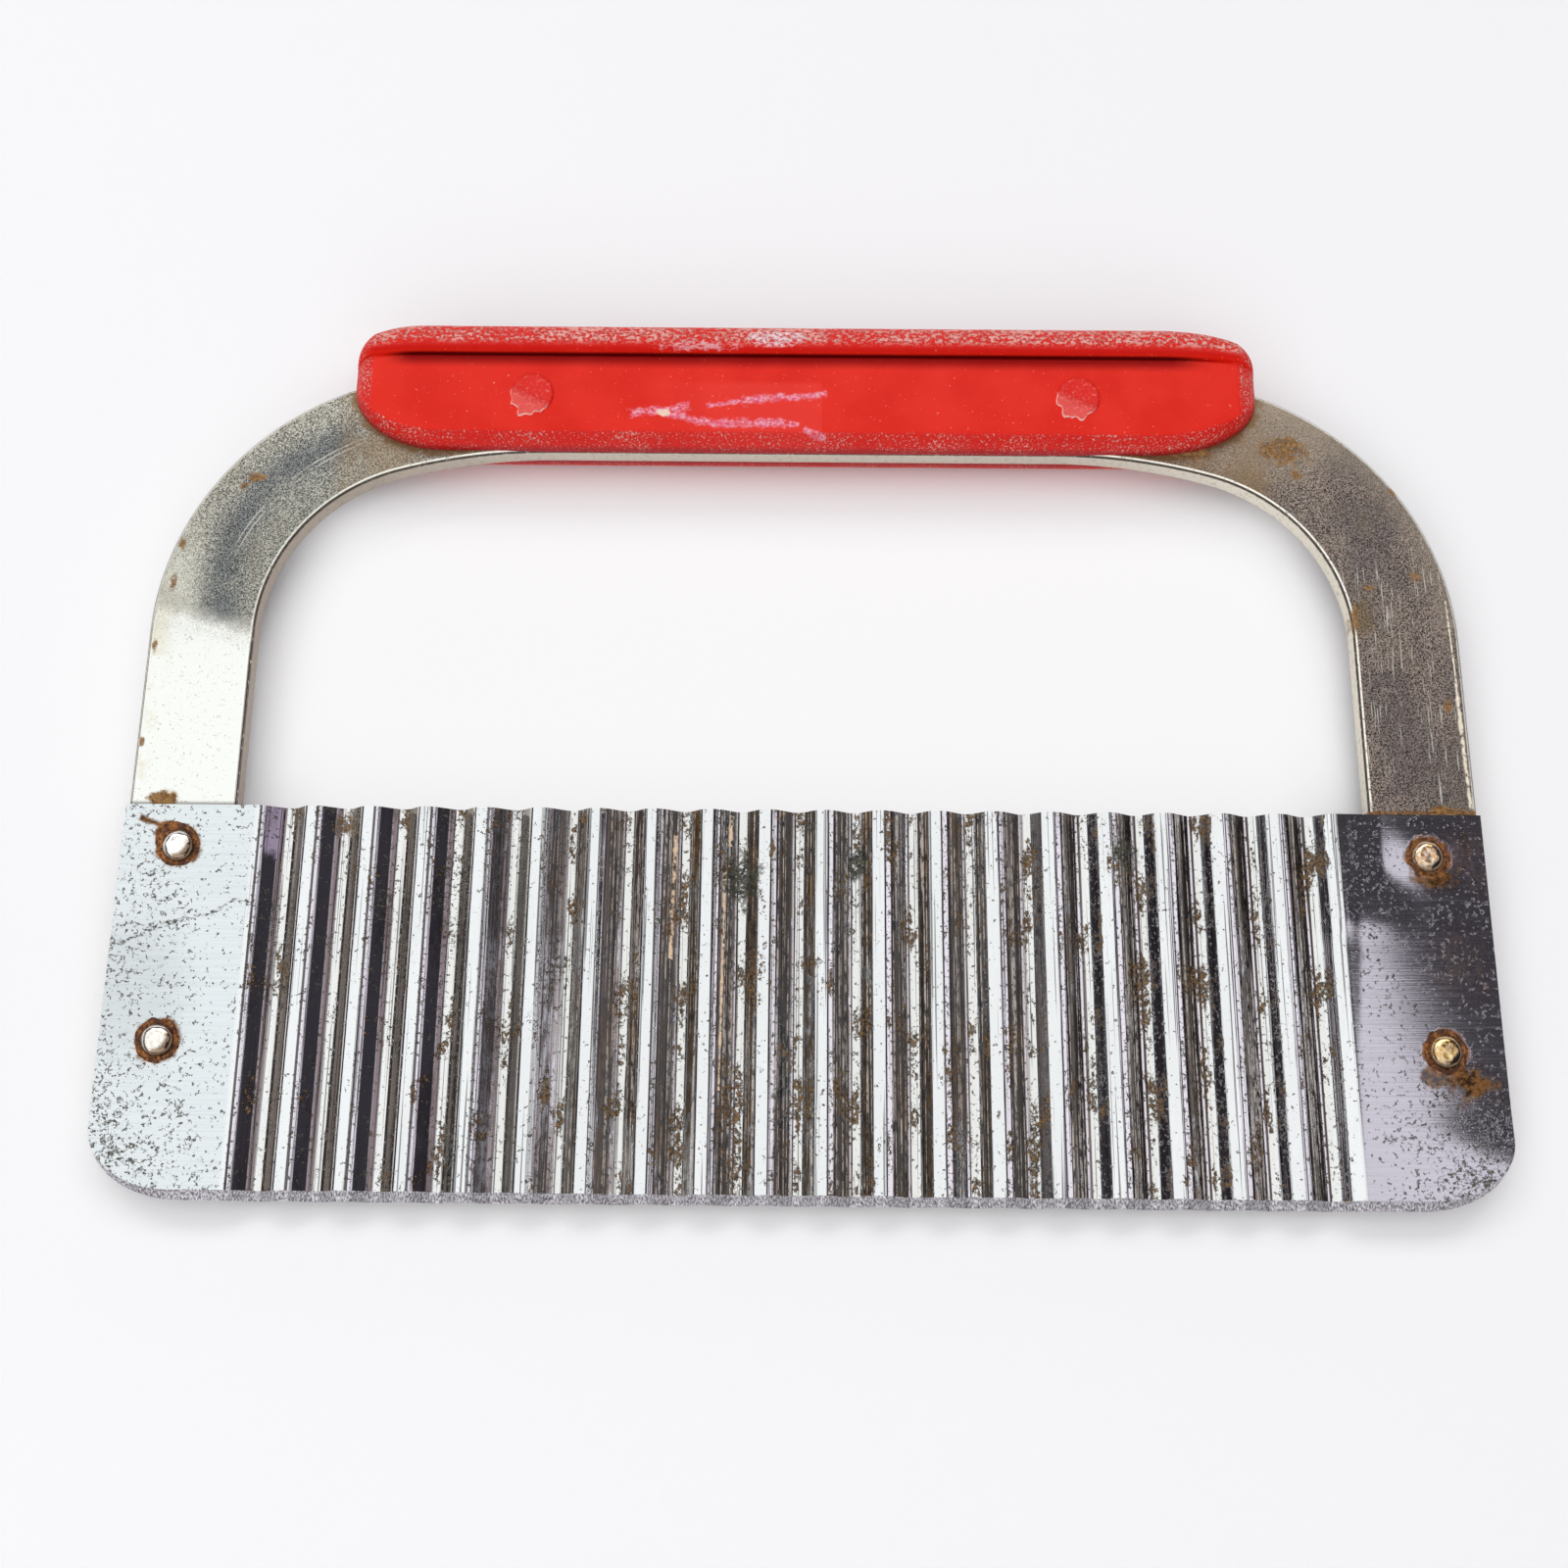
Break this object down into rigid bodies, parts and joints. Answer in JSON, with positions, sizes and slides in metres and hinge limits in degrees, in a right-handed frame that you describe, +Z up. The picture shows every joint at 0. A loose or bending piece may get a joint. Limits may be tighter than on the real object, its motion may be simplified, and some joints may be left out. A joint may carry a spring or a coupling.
{
  "type": "crinkle cutter",
  "caption": "Hand-held crinkle cutter: a corrugated steel blade riveted to the legs of a bent flat-bar bow, with a moulded grip pinned round the bow's top bar.",
  "frame": {"origin": "middle of the footprint, lying on its back, level with the lowest point of the grip's back half", "axes": "+X along the blade, +Y from the cutting edge to the grip, +Z up through the front face"},
  "size_m": [0.178, 0.1204, 0.0135],
  "materials": {
    "blade_steel": "stainless sheet, brushed and stained with use",
    "bow_steel": "dull nickel plate, speckled and rust spotted",
    "rivet_steel": "plain steel, rusted round the rim",
    "grip_plastic": "moulded red plastic, worn pale on its edges",
    "pin_plastic": "red plastic, flattened by heat"
  },
  "bodies": {
    "root": {"blade": "blade_steel", "bow": "bow_steel", "grip_front": "grip_plastic", "grip_back": "grip_plastic", "grip_pin_left": "pin_plastic", "grip_pin_right": "pin_plastic", "rivet_upper_left": "rivet_steel", "rivet_lower_left": "rivet_steel", "rivet_upper_right": "rivet_steel", "rivet_lower_right": "rivet_steel"}
  },
  "joints": []
}
